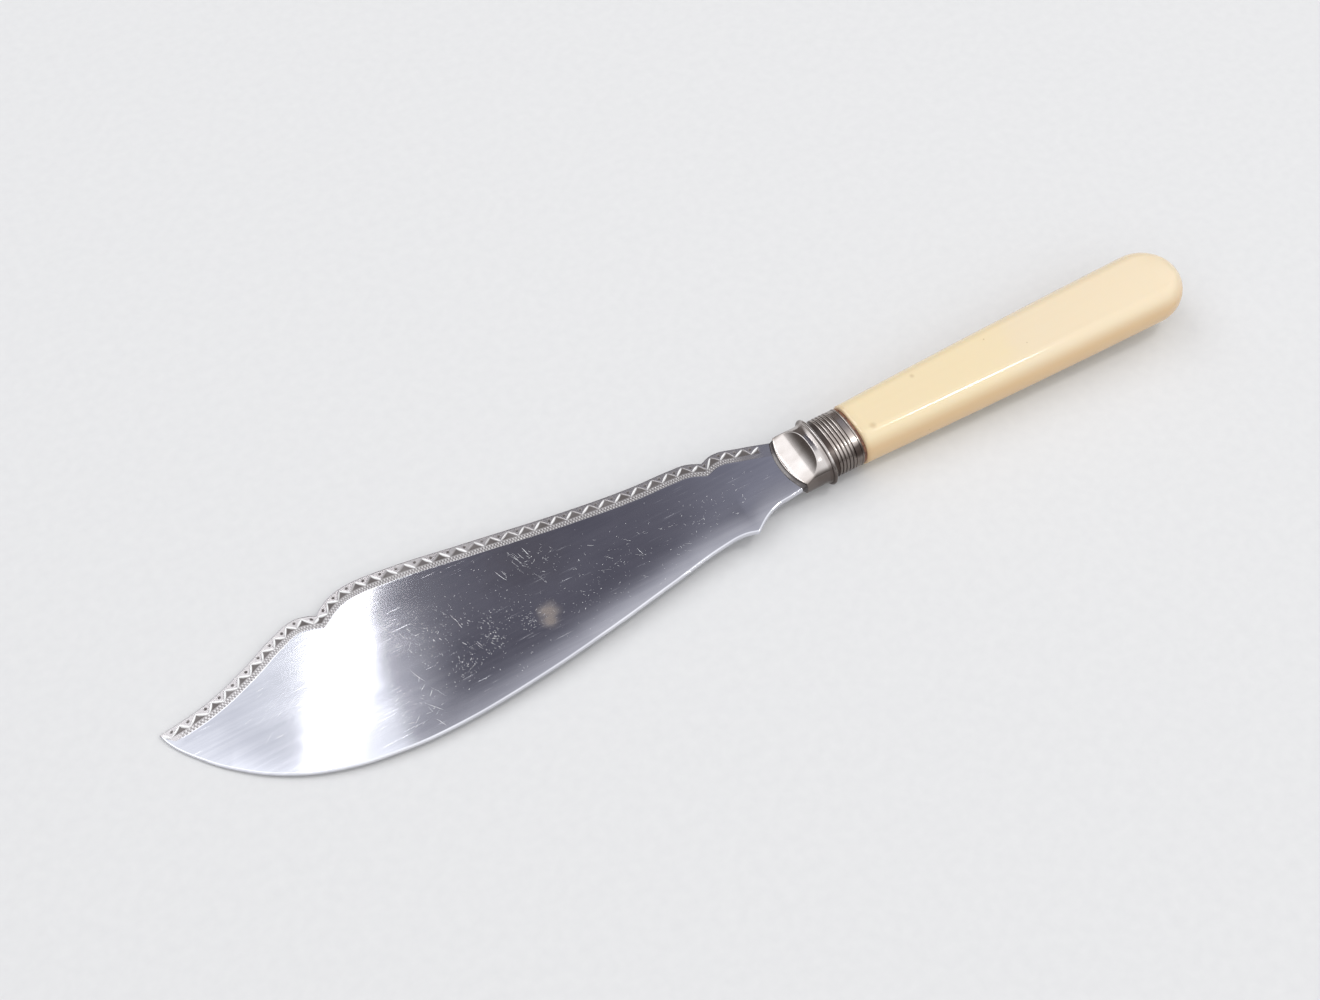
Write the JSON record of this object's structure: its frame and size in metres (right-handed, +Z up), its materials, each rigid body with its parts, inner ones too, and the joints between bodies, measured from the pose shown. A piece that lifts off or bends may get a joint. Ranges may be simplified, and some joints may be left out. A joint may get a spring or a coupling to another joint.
{
  "type": "fish serving knife",
  "caption": "Fish serving knife with a broad plated blade, notched back, scooped bolster, reeded silver ferrule and a flattened cream handle.",
  "frame": {"origin": "centre of the footprint of the knife as it lies on a table, at table height", "axes": "+X along the knife towards the butt of the handle, +Y towards the notched back of the blade, +Z up off the table"},
  "size_m": [0.3212, 0.054, 0.0184],
  "materials": {
    "plated_blade": "polished silver plate with fine use scratches",
    "plated_bolster": "polished silver plate",
    "silver_solder": "dull grey solder fillet",
    "tang_steel": "forged, unpolished",
    "silver_ferrule": "rolled silver with tarnish in the grooves",
    "brown_resin": "set resin cement",
    "tang_resin": "set resin cement",
    "cream_ivorine": "polished cream moulding"
  },
  "bodies": {
    "root": {"blade": "plated_blade", "bolster": "plated_bolster", "blade_solder": "silver_solder", "tang": "tang_steel", "ferrule": "silver_ferrule", "ferrule_cement": "brown_resin", "tang_cement": "tang_resin", "handle": "cream_ivorine"}
  },
  "joints": []
}
